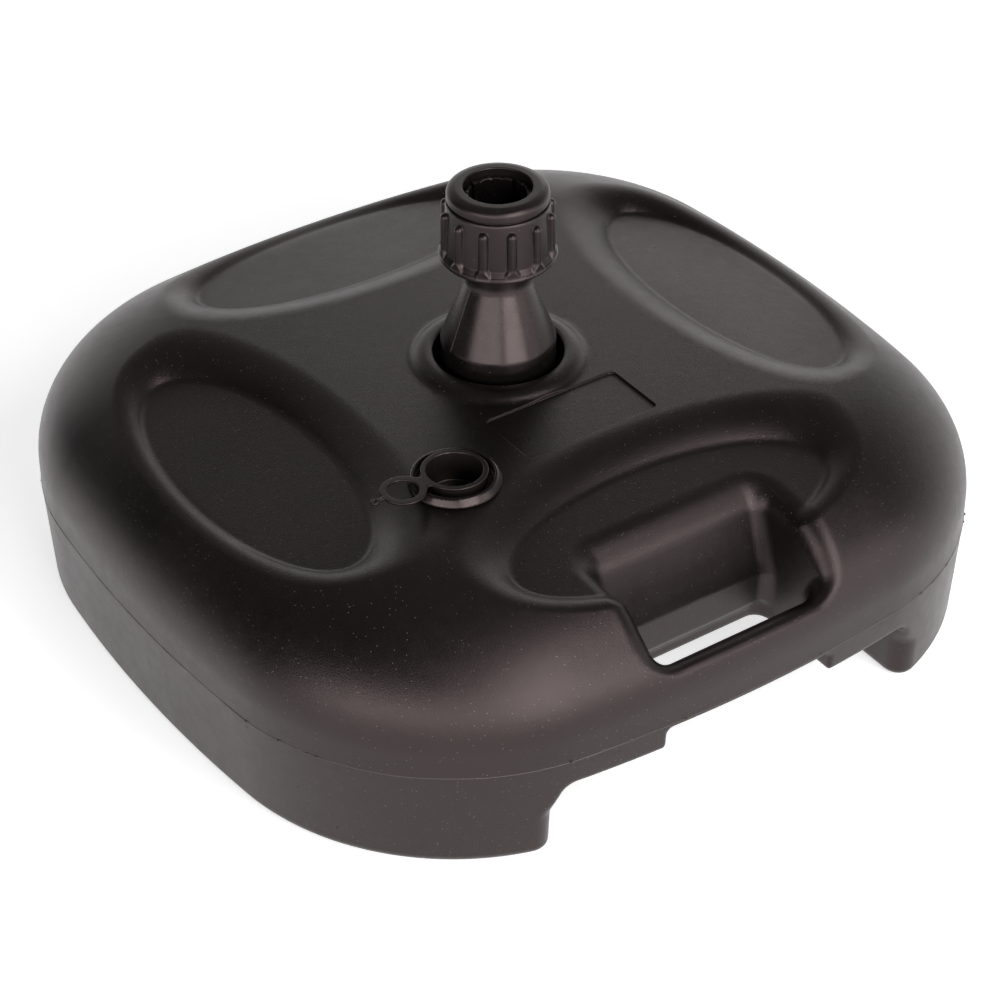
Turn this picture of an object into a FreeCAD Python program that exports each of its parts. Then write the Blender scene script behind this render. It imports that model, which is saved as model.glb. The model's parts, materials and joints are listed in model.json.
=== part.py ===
import FreeCAD, Part
import math
import os
import re
import Sketcher

# A fillable parasol base: a hollow blow-moulded tank with a carrying handle,
# a filler with its stopper, and a turned socket with a screw clamp for the pole.
# +Z is up, the origin is the middle of the ground face, and the handle faces -Y.

os.makedirs("parts", exist_ok=True)
doc = FreeCAD.newDocument("parasol_base")

SIZES = [
    # how far a cutting shape runs past what it cuts, and the play between loose fits
    ("beyond", 10.0),
    ("fit_gap", 0.3),
    # tank, plan outline: four shallow side arcs joined by four corner arcs
    ("half_width", 250.0),
    ("half_depth", 246.5),
    ("corner_radius", 156.9),
    ("corner_centre_x", 88.4),
    ("corner_centre_y", 84.5),
    ("wall", 3.0),
    # tank, heights
    ("seam_height", 65.0),
    ("skirt_taper_deg", 3.3),
    ("foot_rounding", 6.0),
    ("shoulder_height", 80.0),
    ("shoulder_run", 100.0),
    ("plateau_height", 150.0),
    # four lens-shaped dishes in the shoulder
    ("dish_centre", 168.0),
    ("dish_half_long", 105.0),
    ("dish_half_short", 42.0),
    ("dish_bank_run", 15.0),
    ("dish_bank_rise", 16.0),
    ("dish_floor_height", 134.0),
    ("dish_tilt_deg", 6.0),
    # handle pocket and its grip bar
    ("pocket_half_width", 59.0),
    ("pocket_back_top_y", -166.0),
    ("pocket_back_mid_y", -185.0),
    ("pocket_back_mid_height", 82.0),
    ("pocket_back_top_height", 146.0),
    ("bar_inner_y", -228.0),
    ("bar_inner_height", 92.0),
    ("bar_rise", 19.5),
    # arch under the handle side
    ("arch_half_width", 122.0),
    ("arch_height", 47.0),
    ("arch_back_y", -105.0),
    ("arch_corner_radius", 14.0),
    ("grip_half_width", 57.0),
    ("grip_height", 61.5),
    ("grip_back_y", -180.0),
    # underside pan
    ("pan_radius", 88.0),
    ("pan_depth", 5.0),
    # label recess
    ("label_half_width", 45.0),
    ("label_centre_y", -73.5),
    ("label_half_depth", 22.0),
    ("label_recess", 1.4),
    # central well that holds the pole socket
    ("well_radius", 38.5),
    ("well_low_radius", 30.0),
    ("well_shelf_height", 118.0),
    ("well_foot_radius", 44.0),
    ("well_foot_height", 26.0),
    ("lip_radius", 50.0),
    ("lip_height", 155.0),
    ("lip_bevel", 6.0),
    ("lip_bevel_drop", 1.2),
    ("lip_flat", 2.5),
    # filler
    ("filler_x", -91.6),
    ("filler_y", -89.8),
    ("filler_hole_radius", 22.0),
    ("collar_radius", 26.0),
    ("collar_top", 156.0),
    ("collar_rounding", 2.2),
    ("collar_sleeve_radius", 21.7),
    ("collar_sleeve_bottom", 130.0),
    ("collar_mouth_radius", 22.4),
    ("collar_mouth_floor", 151.4),
    ("collar_bore_radius", 18.0),
    ("collar_mouth_bevel", 1.2),
    ("collar_bead_radius", 22.6),
    ("collar_bead_gap", 0.5),
    ("collar_bead_top", 1.0),
    ("collar_bead_ramp", 2.0),
    ("gasket_thickness", 1.2),
    ("gasket_inner_radius", 22.2),
    ("gasket_outer_radius", 25.4),
    # stopper with its pull ring
    ("plug_radius", 17.7),
    ("plug_inner_radius", 16.0),
    ("plug_rim_radius", 19.0),
    ("plug_rim_bottom", 157.2),
    ("plug_rim_top", 158.8),
    ("plug_bottom", 138.0),
    ("plug_floor", 1.6),
    ("plug_chamfer", 1.5),
    ("pull_ring_offset", 33.8),
    ("pull_ring_radius", 13.0),
    ("pull_ring_hole", 9.0),
    ("pull_neck_half_width", 4.0),
    ("pull_neck_flare", 2.0),
    ("pull_overlap", 2.0),
    ("pull_nub_offset", 52.3),
    ("pull_nub_radius", 2.6),
    ("pull_link_half_width", 1.2),
    # pole socket
    ("bore_radius", 16.5),
    ("bore_floor", 14.0),
    ("socket_bottom", 9.0),
    ("socket_thread_radius", 21.0),
    ("socket_tube_radius", 20.0),
    ("socket_flange_radius", 37.5),
    ("socket_flange_thickness", 4.0),
    ("socket_spigot", 6.0),
    ("socket_thread_bevel", 2.0),
    ("core_top_drop", 12.0),
    ("core_tip", 0.6),
    ("skirt_radius", 34.0),
    ("skirt_height", 164.4),
    ("skirt_wall", 2.6),
    ("neck_radius", 18.6),
    ("neck_height", 204.0),
    ("head_radius", 25.0),
    ("head_bottom", 221.0),
    ("head_top", 245.0),
    ("head_bevel", 5.0),
    ("head_chamfer", 1.0),
    ("seat_bottom", 229.0),
    ("seat_bottom_radius", 19.6),
    ("seat_top_radius", 22.6),
    ("rib_thickness", 3.0),
    ("rib_radius", 29.6),
    ("rib_bottom", 40.0),
    ("rib_top", 100.0),
    ("rib_count", 6.0),
    # lock ring under the tank
    ("lock_ring_radius", 36.0),
    ("lock_ring_bottom", 8.0),
    ("lock_ring_chamfer", 1.0),
    ("lock_ring_flange", 5.0),
    ("lock_ring_flange_thickness", 4.0),
    ("lock_ring_notch", 8.0),
    ("lock_ring_notch_depth", 4.0),
    ("lock_ring_notches", 8.0),
    # split collet
    ("collet_radius", 16.7),
    ("collet_flange_radius", 23.8),
    ("collet_flange_bottom", 246.0),
    ("collet_flange_top", 250.5),
    ("collet_top", 260.5),
    ("collet_sleeve_radius", 19.2),
    ("collet_tip_radius", 19.5),
    ("collet_tip_lift", 1.0),
    ("collet_mouth_bevel", 0.9),
    ("collet_turn_deg", 22.5),
    ("collet_slot", 3.2),
    ("collet_slots", 4.0),
    ("collet_slot_bottom", 233.0),
    # clamp nut
    ("nut_bottom", 219.3),
    ("nut_top", 264.9),
    ("nut_hole_radius", 20.0),
    ("nut_ring_radius", 29.65),
    ("nut_ring_chamfer", 3.4),
    ("nut_ring_drop", 2.2),
    ("nut_ring_side", 5.4),
    ("nut_groove", 1.2),
    ("nut_groove_depth", 1.4),
    ("nut_body_top_radius", 30.0),
    ("nut_body_bottom_radius", 31.4),
    ("nut_flange_radius", 33.9),
    ("nut_flange_height", 2.6),
    ("nut_flange_chamfer", 1.0),
    ("nut_bevel_height", 4.0),
    ("nut_grip_radius", 2.8),
    ("nut_grip_circle", 31.0),
    ("nut_grip_top", 251.5),
    ("nut_grip_count", 12.0),
    ("nut_grip_first_deg", 10.0),
]

ALIASES = {alias for alias, _ in SIZES}

sheet = doc.addObject("Spreadsheet::Sheet", "Sheet")
for row, (alias, value) in enumerate(SIZES, start=1):
    sheet.set(f"A{row}", alias)
    sheet.set(f"B{row}", str(value))
    sheet.setAlias(f"B{row}", alias)
doc.recompute()


def size(alias):
    """The number that a cell of the sheet holds."""
    return float(sheet.get(alias))


def value_of(expression):
    """The number that an expression of sheet cells gives."""
    result = sheet.evalExpression(expression)
    return float(getattr(result, "Value", result))


def cells(text):
    """Turns words such as 'wall + fit_gap' into an expression on the sheet's cells."""

    def in_sheet(word):
        return f"Sheet.{word[0]}" if word[0] in ALIASES else word[0]

    return re.sub(r"[a-z]\w*", in_sheet, text)


# ---------------------------------------------------------------- drawing helpers

def new_body(label):
    body = doc.addObject("PartDesign::Body", label)
    body.Label = label
    return body


def plane_of(body, role):
    return next(f for f in body.Origin.OriginFeatures if f.Role == role)


def sketch_on(body, role, name, offset="0"):
    """A sketch on one of the body's origin planes, moved along the plane's normal."""
    sketch = body.newObject("Sketcher::SketchObject", name)
    sketch.AttachmentSupport = [(plane_of(body, role), "")]
    sketch.MapMode = "FlatFace"
    sketch.AttachmentOffset = FreeCAD.Placement(
        FreeCAD.Vector(0, 0, value_of(cells(offset))), FreeCAD.Rotation()
    )
    if offset != "0":
        sketch.setExpression("AttachmentOffset.Base.z", cells(offset))
    return sketch


def bind(sketch, constraint, expression):
    """Adds a constraint whose value is a sheet expression; a zero one goes on the axis."""
    index = sketch.addConstraint(constraint)
    sketch.setExpression(f"Constraints[{index}]", cells(expression))
    return index


def pin_point(sketch, geometry, point, x, y):
    """Fixes one point of a sketch at the expressions x and y."""
    if x == "0":
        sketch.addConstraint(Sketcher.Constraint("PointOnObject", geometry, point, -2))
    else:
        bind(sketch, Sketcher.Constraint("DistanceX", -1, 1, geometry, point, value_of(cells(x))), x)
    if y == "0":
        sketch.addConstraint(Sketcher.Constraint("PointOnObject", geometry, point, -1))
    else:
        bind(sketch, Sketcher.Constraint("DistanceY", -1, 1, geometry, point, value_of(cells(y))), y)


def polygon(sketch, corners):
    """A closed outline of straight lines through corners given as pairs of expressions."""
    points = [FreeCAD.Vector(value_of(cells(x)), value_of(cells(y)), 0) for x, y in corners]
    count = len(points)
    for i in range(count):
        sketch.addGeometry(Part.LineSegment(points[i], points[(i + 1) % count]), False)
    for i in range(count):
        sketch.addConstraint(Sketcher.Constraint("Coincident", i, 2, (i + 1) % count, 1))
    for i, (x, y) in enumerate(corners):
        pin_point(sketch, i, 1, x, y)


def circle(sketch, x, y, radius):
    centre = FreeCAD.Vector(value_of(cells(x)), value_of(cells(y)), 0)
    index = sketch.addGeometry(
        Part.Circle(centre, FreeCAD.Vector(0, 0, 1), value_of(cells(radius))), False
    )
    pin_point(sketch, index, 3, x, y)
    bind(sketch, Sketcher.Constraint("Radius", index, value_of(cells(radius))), radius)


def ellipse(sketch, half_long, half_short):
    """An ellipse about the sketch's origin, long along Y."""
    long_end = FreeCAD.Vector(0, value_of(cells(half_long)), 0)
    short_end = FreeCAD.Vector(value_of(cells(half_short)), 0, 0)
    index = sketch.addGeometry(Part.Ellipse(long_end, short_end, FreeCAD.Vector()), False)
    sketch.exposeInternalGeometry(index)
    sketch.addConstraint(Sketcher.Constraint("Coincident", index, 3, -1, 1))
    sketch.addConstraint(Sketcher.Constraint("Vertical", index + 1))
    for line, half in ((index + 1, half_long), (index + 2, half_short)):
        length = Sketcher.Constraint("Distance", line, 2 * value_of(cells(half)))
        bind(sketch, length, f"2 * ({half})")


def feature(body, kind, name, profile, **settings):
    """A feature on a profile; text settings are expressions, the others are plain values."""
    item = body.newObject(f"PartDesign::{kind}", name)
    item.Profile = profile
    for key, setting in settings.items():
        if isinstance(setting, str) and not key.endswith(("Type", "Mode", "Transition")):
            item.setExpression(key, cells(setting))
        else:
            setattr(item, key, setting)
    doc.recompute()
    return item


def turned(body, name, corners, kind="Revolution"):
    """Turns a closed outline, given as radius and height, about the body's Z axis."""
    sketch = sketch_on(body, "XZ_Plane", f"{name}_outline")
    polygon(sketch, corners)
    return feature(body, kind, name, sketch, ReferenceAxis=(sketch, ["V_Axis"]), Angle=360.0)


def polar(body, name, item, count, angle=360.0):
    """Repeats a feature round the body's Z axis."""
    pattern = body.newObject("PartDesign::PolarPattern", name)
    pattern.Originals = [item]
    pattern.Axis = (plane_of(body, "Z_Axis"), [""])
    pattern.Angle = angle
    pattern.setExpression("Occurrences", cells(count))
    body.Tip = pattern
    doc.recompute()
    return pattern


def ring_edges(shape, radius, height):
    """The names of the circular edges of one radius at one height."""
    names = []
    for number, edge in enumerate(shape.Edges, start=1):
        if not isinstance(edge.Curve, Part.Circle):
            continue
        same_size = abs(edge.Curve.Radius - radius) < 0.01
        if same_size and abs(edge.Curve.Center.z - height) < 0.01:
            names.append(f"Edge{number}")
    return names


def level_edges(shape, height):
    """The names of the edges that lie flat at one height."""
    names = []
    for number, edge in enumerate(shape.Edges, start=1):
        box = edge.BoundBox
        if abs(box.ZMin - height) < 0.01 and abs(box.ZMax - height) < 0.01:
            names.append(f"Edge{number}")
    return names


def rounded(body, name, base, edges, radius):
    fillet = body.newObject("PartDesign::Fillet", name)
    fillet.Base = (base, edges)
    fillet.setExpression("Radius", cells(radius))
    body.Tip = fillet
    doc.recompute()
    return fillet


# ---------------------------------------------------------------- the tank

def tank_outline(sketch, inset):
    """The plan outline: side arcs and corner arcs, all tangent, moved in by the inset."""
    step_in = value_of(cells(inset))
    width = size("half_width") - step_in
    depth = size("half_depth") - step_in
    corner = size("corner_radius") - step_in
    cx, cy = size("corner_centre_x"), size("corner_centre_y")
    side_x = ((width - cx) ** 2 + cy**2 - corner**2) / (2 * (width - cx - corner))
    side_y = ((depth - cy) ** 2 + cx**2 - corner**2) / (2 * (depth - cy - corner))
    low = math.atan2(cy, cx - (width - side_x))
    high = math.atan2(cy - (depth - side_y), cx)
    up = FreeCAD.Vector(0, 0, 1)

    def arc(x, y, radius, start, end):
        round_part = Part.Circle(FreeCAD.Vector(x, y, 0), up, radius)
        return sketch.addGeometry(Part.ArcOfCircle(round_part, start, end), False)

    half_turn = math.pi
    arcs = [
        arc(width - side_x, 0, side_x, -low, low),
        arc(cx, cy, corner, low, high),
        arc(0, depth - side_y, side_y, high, half_turn - high),
        arc(-cx, cy, corner, half_turn - high, half_turn - low),
        arc(side_x - width, 0, side_x, half_turn - low, half_turn + low),
        arc(-cx, -cy, corner, half_turn + low, half_turn + high),
        arc(0, side_y - depth, side_y, half_turn + high, 2 * half_turn - high),
        arc(cx, -cy, corner, 2 * half_turn - high, 2 * half_turn - low),
    ]
    for i, this in enumerate(arcs):
        after = arcs[(i + 1) % len(arcs)]
        sketch.addConstraint(Sketcher.Constraint("Tangent", this, 2, after, 1))
    signs = {1: (1, 1), 3: (-1, 1), 5: (-1, -1), 7: (1, -1)}
    for i, (sign_x, sign_y) in signs.items():
        x = f"{sign_x} * corner_centre_x"
        y = f"{sign_y} * corner_centre_y"
        pin_point(sketch, arcs[i], 3, x, y)
    bind(sketch, Sketcher.Constraint("Radius", arcs[1], corner), f"corner_radius - ({inset})")
    for i in (3, 5, 7):
        sketch.addConstraint(Sketcher.Constraint("Equal", arcs[1], arcs[i]))
    side_x_words = (
        f"((half_width - ({inset}) - corner_centre_x)^2 + corner_centre_y^2"
        f" - (corner_radius - ({inset}))^2)"
        f" / (2 * (half_width - corner_centre_x - corner_radius))"
    )
    side_y_words = (
        f"((half_depth - ({inset}) - corner_centre_y)^2 + corner_centre_x^2"
        f" - (corner_radius - ({inset}))^2)"
        f" / (2 * (half_depth - corner_centre_y - corner_radius))"
    )
    for i in (0, 4):
        bind(sketch, Sketcher.Constraint("Radius", arcs[i], side_x), side_x_words)
    for i in (2, 6):
        bind(sketch, Sketcher.Constraint("Radius", arcs[i], side_y), side_y_words)


def shoulder_waste(sketch, inset):
    """What is cut off the block to leave the shoulder: outside a quarter of an ellipse."""
    run = f"shoulder_run - ({inset})"
    rise = f"plateau_height - shoulder_height - ({inset})"
    centre_x = value_of(cells("half_width - shoulder_run"))
    centre_z = size("shoulder_height")
    half_long, half_short = value_of(cells(run)), value_of(cells(rise))
    centre = FreeCAD.Vector(centre_x, centre_z, 0)
    oval = Part.Ellipse(
        centre + FreeCAD.Vector(half_long, 0, 0), centre + FreeCAD.Vector(0, half_short, 0), centre
    )
    curve = sketch.addGeometry(Part.ArcOfEllipse(oval, 0, math.pi / 2), False)
    sketch.exposeInternalGeometry(curve)
    bind(sketch, Sketcher.Constraint("Distance", curve + 1, 2 * half_long), f"2 * ({run})")
    bind(sketch, Sketcher.Constraint("Distance", curve + 2, 2 * half_short), f"2 * ({rise})")
    sketch.addConstraint(Sketcher.Constraint("Horizontal", curve + 1))
    pin_point(sketch, curve, 3, "half_width - shoulder_run", "shoulder_height")
    beyond = size("beyond")
    right, top = centre_x + half_long, centre_z + half_short
    corners = [
        FreeCAD.Vector(centre_x, top, 0),
        FreeCAD.Vector(centre_x, top + beyond, 0),
        FreeCAD.Vector(right + beyond, top + beyond, 0),
        FreeCAD.Vector(right + beyond, centre_z, 0),
        FreeCAD.Vector(right, centre_z, 0),
    ]
    lines = [
        sketch.addGeometry(Part.LineSegment(a, b), False) for a, b in zip(corners, corners[1:])
    ]
    sketch.addConstraint(Sketcher.Constraint("Coincident", curve, 2, lines[0], 1))
    for this, after in zip(lines, lines[1:]):
        sketch.addConstraint(Sketcher.Constraint("Coincident", this, 2, after, 1))
    sketch.addConstraint(Sketcher.Constraint("Coincident", lines[3], 2, curve, 1))
    sketch.addConstraint(Sketcher.Constraint("Vertical", lines[0]))
    sketch.addConstraint(Sketcher.Constraint("Horizontal", lines[1]))
    sketch.addConstraint(Sketcher.Constraint("Vertical", lines[2]))
    sketch.addConstraint(Sketcher.Constraint("Horizontal", lines[3]))
    for line in (lines[0], lines[3]):
        bind(sketch, Sketcher.Constraint("Distance", line, beyond), "beyond")


def tank_form(label, inset):
    """
    The tank's form as a solid. With no inset it is the outside; with the wall as inset
    every outer face moves in, and every hollow in it grows, so it is the water space.
    """
    body = new_body(label)
    plan = sketch_on(body, "XY_Plane", f"{label}_plan", "seam_height")
    tank_outline(plan, inset)
    feature(body, "Pad", f"{label}_top", plan,
            Length=f"plateau_height - seam_height - ({inset})")
    skirt = feature(body, "Pad", f"{label}_skirt", plan, Reversed=True,
                    Length=f"seam_height - ({inset})", TaperAngle="-1 * skirt_taper_deg")
    foot = level_edges(skirt.Shape, value_of(cells(inset)))
    rounded(body, f"{label}_foot", skirt, foot, f"foot_rounding - ({inset})")

    waste = sketch_on(body, "XZ_Plane", f"{label}_shoulder_waste")
    shoulder_waste(waste, inset)
    feature(body, "SubtractivePipe", f"{label}_shoulder", waste, Spine=(plan, []),
            Mode="Binormal", Binormal=FreeCAD.Vector(0, 0, 1))

    dish_sections = []
    for place, lift, growth in (("floor", f"0 - ({inset})", inset),
                                ("brim", "dish_bank_rise", f"dish_bank_run + {inset}")):
        section = sketch_on(body, "XY_Plane", f"{label}_dish_{place}")
        ellipse(section, f"dish_half_long + {growth}", f"dish_half_short + {growth}")
        tilt = math.radians(size("dish_tilt_deg"))
        rise = value_of(cells(lift))
        section.AttachmentOffset = FreeCAD.Placement(
            FreeCAD.Vector(
                size("dish_centre") + rise * math.sin(tilt),
                0,
                size("dish_floor_height") + rise * math.cos(tilt),
            ),
            FreeCAD.Rotation(FreeCAD.Vector(0, 1, 0), size("dish_tilt_deg")),
        )
        section.setExpression(
            "AttachmentOffset.Base.x", cells(f"dish_centre + ({lift}) * sin(dish_tilt_deg * 1deg)")
        )
        section.setExpression(
            "AttachmentOffset.Base.z",
            cells(f"dish_floor_height + ({lift}) * cos(dish_tilt_deg * 1deg)"),
        )
        dish_sections.append(section)
    dish = feature(body, "SubtractiveLoft", f"{label}_dish", dish_sections[0],
                   Sections=[dish_sections[1]], Ruled=True)
    polar(body, f"{label}_dishes", dish, "4")

    pocket = sketch_on(body, "YZ_Plane", f"{label}_pocket_side")
    polygon(pocket, [
        (f"bar_inner_y - ({inset})", "0 - beyond"),
        (f"bar_inner_y - ({inset})", f"bar_inner_height - ({inset})"),
        ("0 - half_depth - beyond", f"bar_inner_height + bar_rise - ({inset})"),
        ("0 - half_depth - beyond", "plateau_height + beyond"),
        (f"pocket_back_top_y + {inset}", "plateau_height + beyond"),
        (f"pocket_back_top_y + {inset}", "pocket_back_top_height"),
        (f"pocket_back_mid_y + {inset}", "pocket_back_mid_height"),
        (f"pocket_back_mid_y + {inset}", "0 - beyond"),
    ])
    feature(body, "Pocket", f"{label}_pocket", pocket, Midplane=True,
            Length=f"2 * (pocket_half_width + {inset})")

    arch = sketch_on(body, "XZ_Plane", f"{label}_arch_side", f"0 - arch_back_y - ({inset})")
    arch_outline(arch, inset)
    feature(body, "Pocket", f"{label}_arch", arch, Length="half_depth", Reversed=True)

    grip = sketch_on(body, "XZ_Plane", f"{label}_grip_side", f"0 - grip_back_y - ({inset})")
    polygon(grip, [
        (f"0 - grip_half_width - ({inset})", "0 - beyond"),
        (f"grip_half_width + {inset}", "0 - beyond"),
        (f"grip_half_width + {inset}", f"grip_height + {inset}"),
        (f"0 - grip_half_width - ({inset})", f"grip_height + {inset}"),
    ])
    feature(body, "Pocket", f"{label}_grip", grip, Length="half_depth", Reversed=True)

    label_plan = sketch_on(body, "XY_Plane", f"{label}_label_plan",
                           f"plateau_height - label_recess - ({inset})")
    polygon(label_plan, [
        (f"{side} * (label_half_width + {inset})",
         f"label_centre_y + {end} * (label_half_depth + {inset})")
        for side, end in ((-1, -1), (1, -1), (1, 1), (-1, 1))
    ])
    feature(body, "Pocket", f"{label}_label", label_plan, Length="2 * beyond", Reversed=True)

    pan = sketch_on(body, "XY_Plane", f"{label}_pan_plan", f"pan_depth + {inset}")
    circle(pan, "0", "0", f"pan_radius + {inset}")
    feature(body, "Pocket", f"{label}_pan", pan, Length="2 * beyond")
    return body


def arch_outline(sketch, inset):
    """The arch seen from the handle side: flat top, with rounded upper corners."""
    half = f"arch_half_width + {inset}"
    top = f"arch_height + {inset}"
    radius = f"arch_corner_radius + {inset}"
    a, b, r = value_of(cells(half)), value_of(cells(top)), value_of(cells(radius))
    low = -size("beyond")
    v = FreeCAD.Vector
    up = v(0, 0, 1)
    lines = [
        sketch.addGeometry(Part.LineSegment(v(-a, b - r, 0), v(-a, low, 0)), False),
        sketch.addGeometry(Part.LineSegment(v(-a, low, 0), v(a, low, 0)), False),
        sketch.addGeometry(Part.LineSegment(v(a, low, 0), v(a, b - r, 0)), False),
        sketch.addGeometry(
            Part.ArcOfCircle(Part.Circle(v(a - r, b - r, 0), up, r), 0, math.pi / 2), False
        ),
        sketch.addGeometry(Part.LineSegment(v(a - r, b, 0), v(r - a, b, 0)), False),
        sketch.addGeometry(
            Part.ArcOfCircle(Part.Circle(v(r - a, b - r, 0), up, r), math.pi / 2, math.pi), False
        ),
    ]
    corner_joints = {(0, 1), (1, 2)}
    for i, this in enumerate(lines):
        after = lines[(i + 1) % len(lines)]
        kind = "Coincident" if (i, i + 1) in corner_joints else "Tangent"
        sketch.addConstraint(Sketcher.Constraint(kind, this, 2, after, 1))
    for line in (0, 2):
        sketch.addConstraint(Sketcher.Constraint("Vertical", lines[line]))
    sketch.addConstraint(Sketcher.Constraint("Equal", lines[3], lines[5]))
    bind(sketch, Sketcher.Constraint("Radius", lines[3], r), radius)
    pin_point(sketch, lines[1], 1, f"0 - ({half})", "0 - beyond")
    pin_point(sketch, lines[1], 2, half, "0 - beyond")
    bind(sketch, Sketcher.Constraint("DistanceY", -1, 1, lines[4], 1, b), top)


def base_tank():
    outside = tank_form("tank_outside", "0")
    turned(outside, "tank_lip", [
        ("well_low_radius", "plateau_height - wall"),
        ("lip_radius", "plateau_height - wall"),
        ("lip_radius", "plateau_height"),
        ("lip_radius - lip_bevel", "lip_height - lip_bevel_drop"),
        ("well_radius + lip_flat", "lip_height"),
        ("well_low_radius", "lip_height"),
    ])
    mouth = sketch_on(outside, "XY_Plane", "tank_filler_plan", "lip_height")
    circle(mouth, "filler_x", "filler_y", "filler_hole_radius")
    feature(outside, "Pocket", "tank_filler_hole", mouth,
            Length="lip_height - plateau_height + 2 * wall")
    water = tank_form("tank_water_space", "wall")
    for body, grow in ((outside, "0"), (water, "wall")):
        turned(body, f"{body.Label}_well", [
            ("0", "0 - beyond"),
            (f"well_foot_radius + {grow}", "0 - beyond"),
            (f"well_foot_radius + {grow}", f"well_foot_height + {grow}"),
            (f"well_low_radius + {grow}", f"well_foot_height + {grow}"),
            (f"well_low_radius + {grow}", f"well_shelf_height - ({grow})"),
            (f"well_radius + {grow}", f"well_shelf_height - ({grow})"),
            (f"well_radius + {grow}", "plateau_height + 2 * beyond"),
            ("0", "plateau_height + 2 * beyond"),
        ], kind="Groove")
    tank = doc.addObject("Part::Cut", "base_tank")
    tank.Base = outside
    tank.Tool = water
    doc.recompute()
    return tank


# ---------------------------------------------------------------- the filler

def at_filler(body):
    """Stands a turned piece on the filler's own axis."""
    body.setExpression("Placement.Base.x", cells("filler_x"))
    body.setExpression("Placement.Base.y", cells("filler_y"))
    doc.recompute()
    return body


def filler_collar():
    body = new_body("filler_collar")
    bead = "plateau_height - wall - collar_bead_gap"
    ring = turned(body, "collar_ring", [
        ("collar_bore_radius", "collar_sleeve_bottom"),
        ("collar_sleeve_radius", "collar_sleeve_bottom"),
        ("collar_sleeve_radius", f"{bead} - collar_bead_top - collar_bead_ramp"),
        ("collar_bead_radius", f"{bead} - collar_bead_top"),
        ("collar_sleeve_radius", bead),
        ("collar_sleeve_radius", "plateau_height + gasket_thickness"),
        ("collar_radius", "plateau_height + gasket_thickness"),
        ("collar_radius", "collar_top"),
        ("collar_mouth_radius + collar_mouth_bevel", "collar_top"),
        ("collar_mouth_radius", "collar_top - collar_mouth_bevel"),
        ("collar_mouth_radius", "collar_mouth_floor"),
        ("collar_bore_radius", "collar_mouth_floor"),
    ])
    edge = ring_edges(ring.Shape, size("collar_radius"), size("collar_top"))
    rounded(body, "collar_edge", ring, edge, "collar_rounding")
    return at_filler(body)


def collar_gasket():
    body = new_body("collar_gasket")
    turned(body, "gasket_ring", [
        ("gasket_inner_radius", "plateau_height"),
        ("gasket_outer_radius", "plateau_height"),
        ("gasket_outer_radius", "plateau_height + gasket_thickness"),
        ("gasket_inner_radius", "plateau_height + gasket_thickness"),
    ])
    return at_filler(body)


def filler_plug():
    body = new_body("filler_plug")
    turned(body, "plug_cup", [
        ("0", "plug_bottom"),
        ("plug_radius - plug_chamfer", "plug_bottom"),
        ("plug_radius", "plug_bottom + plug_chamfer"),
        ("plug_radius", "plug_rim_bottom"),
        ("plug_rim_radius", "plug_rim_bottom"),
        ("plug_rim_radius", "plug_rim_top"),
        ("plug_inner_radius", "plug_rim_top"),
        ("plug_inner_radius", "plug_bottom + plug_floor"),
        ("0", "plug_bottom + plug_floor"),
    ])
    thickness = "plug_rim_top - plug_rim_bottom"
    neck = sketch_on(body, "XY_Plane", "pull_neck_plan", "plug_rim_bottom")
    polygon(neck, [
        ("pull_overlap - plug_rim_radius", "0 - pull_neck_half_width - pull_neck_flare"),
        ("pull_overlap - plug_rim_radius", "pull_neck_half_width + pull_neck_flare"),
        ("pull_ring_radius - pull_ring_offset - pull_overlap", "pull_neck_half_width"),
        ("pull_ring_radius - pull_ring_offset - pull_overlap", "0 - pull_neck_half_width"),
    ])
    feature(body, "Pad", "pull_neck", neck, Length=thickness)
    ring = sketch_on(body, "XY_Plane", "pull_ring_plan", "plug_rim_bottom")
    circle(ring, "0 - pull_ring_offset", "0", "pull_ring_radius")
    circle(ring, "0 - pull_ring_offset", "0", "pull_ring_hole")
    feature(body, "Pad", "pull_ring", ring, Length=thickness)
    link = sketch_on(body, "XY_Plane", "pull_link_plan", "plug_rim_bottom")
    polygon(link, [
        ("0 - pull_nub_offset", "0 - pull_link_half_width"),
        ("0 - pull_nub_offset", "pull_link_half_width"),
        ("pull_overlap - pull_ring_offset - pull_ring_radius", "pull_link_half_width"),
        ("pull_overlap - pull_ring_offset - pull_ring_radius", "0 - pull_link_half_width"),
    ])
    feature(body, "Pad", "pull_link", link, Length=thickness)
    nub = sketch_on(body, "XY_Plane", "pull_nub_plan", "plug_rim_bottom")
    circle(nub, "0 - pull_nub_offset", "0", "pull_nub_radius")
    feature(body, "Pad", "pull_nub", nub, Length=thickness)
    return at_filler(body)


# ---------------------------------------------------------------- the pole socket

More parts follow.
